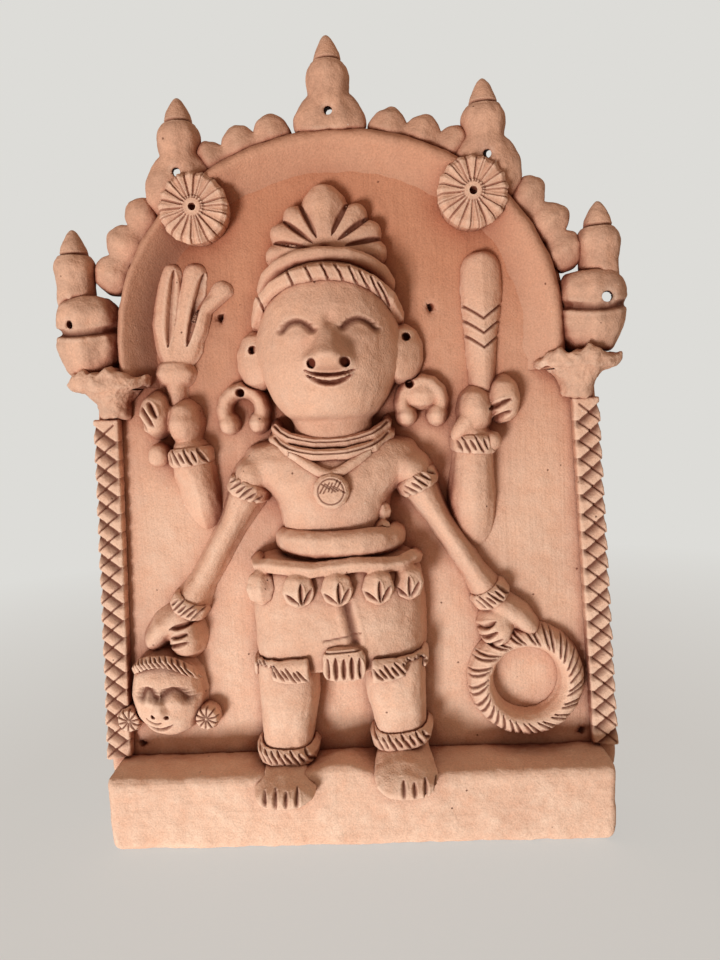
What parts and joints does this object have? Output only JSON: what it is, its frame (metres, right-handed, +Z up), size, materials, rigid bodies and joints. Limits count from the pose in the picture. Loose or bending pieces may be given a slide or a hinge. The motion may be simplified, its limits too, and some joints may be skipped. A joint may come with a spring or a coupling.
{
  "type": "terracotta deity relief",
  "caption": "Arched terracotta niche plaque with a crested, four-armed standing deity in high relief, vase finials, rosettes and a base ledge.",
  "frame": {"origin": "middle of the base ledge's flat underside, on the surface that the relief stands on", "axes": "+Z up the slab, -Y the way the figure faces, +X to the right of someone who looks at its face"},
  "size_m": [0.3265, 0.0653, 0.4545],
  "materials": {
    "slab_clay": "unglazed, wiped smooth, matte",
    "arch_clay": "unglazed, slightly smoked, matte",
    "figure_clay": "unglazed, finger smoothed, matte",
    "trim_clay": "unglazed, knife cut, matte"
  },
  "bodies": {
    "root": {"anklet_left": "trim_clay", "anklet_right": "trim_clay", "arch_rim": "arch_clay", "arm_lower_left": "figure_clay", "arm_lower_right": "figure_clay", "arm_upper_left": "figure_clay", "arm_upper_right": "figure_clay", "armlet_left": "trim_clay", "armlet_right": "trim_clay", "backing_slab": "slab_clay", "base_ledge": "arch_clay", "belt": "trim_clay", "bracelet_lower_left": "trim_clay", "bracelet_lower_right": "trim_clay", "bracelet_upper_left": "trim_clay", "bracelet_upper_right": "trim_clay", "buds_left_lower": "arch_clay", "buds_left_upper": "arch_clay", "buds_right_lower": "arch_clay", "buds_right_upper": "arch_clay", "capital_left": "trim_clay", "capital_right": "trim_clay", "choker": "trim_clay", "club": "figure_clay", "crest": "figure_clay", "ear_left": "figure_clay", "ear_right": "figure_clay", "earring_left": "trim_clay", "earring_right": "trim_clay", "finial_lower_left": "arch_clay", "finial_lower_right": "arch_clay", "finial_top": "arch_clay", "finial_upper_left": "arch_clay", "finial_upper_right": "arch_clay", "head": "figure_clay", "headband": "trim_clay", "hem_band_left": "trim_clay", "hem_band_right": "trim_clay", "hem_tassel": "trim_clay", "leg_left": "figure_clay", "leg_right": "figure_clay", "pendant": "trim_clay", "pendant_cord": "trim_clay", "pilaster_left": "trim_clay", "pilaster_right": "trim_clay", "rope_ring": "trim_clay", "rosette_left": "trim_clay", "rosette_right": "trim_clay", "sash_knot": "trim_clay", "skirt": "figure_clay", "springer_left": "arch_clay", "springer_right": "arch_clay", "torso": "figure_clay", "trident": "figure_clay", "trophy_earring_left": "trim_clay", "trophy_earring_right": "trim_clay", "trophy_head": "figure_clay", "trophy_headband": "trim_clay", "turban_coil": "figure_clay", "waist_roll": "figure_clay"}
  },
  "joints": []
}
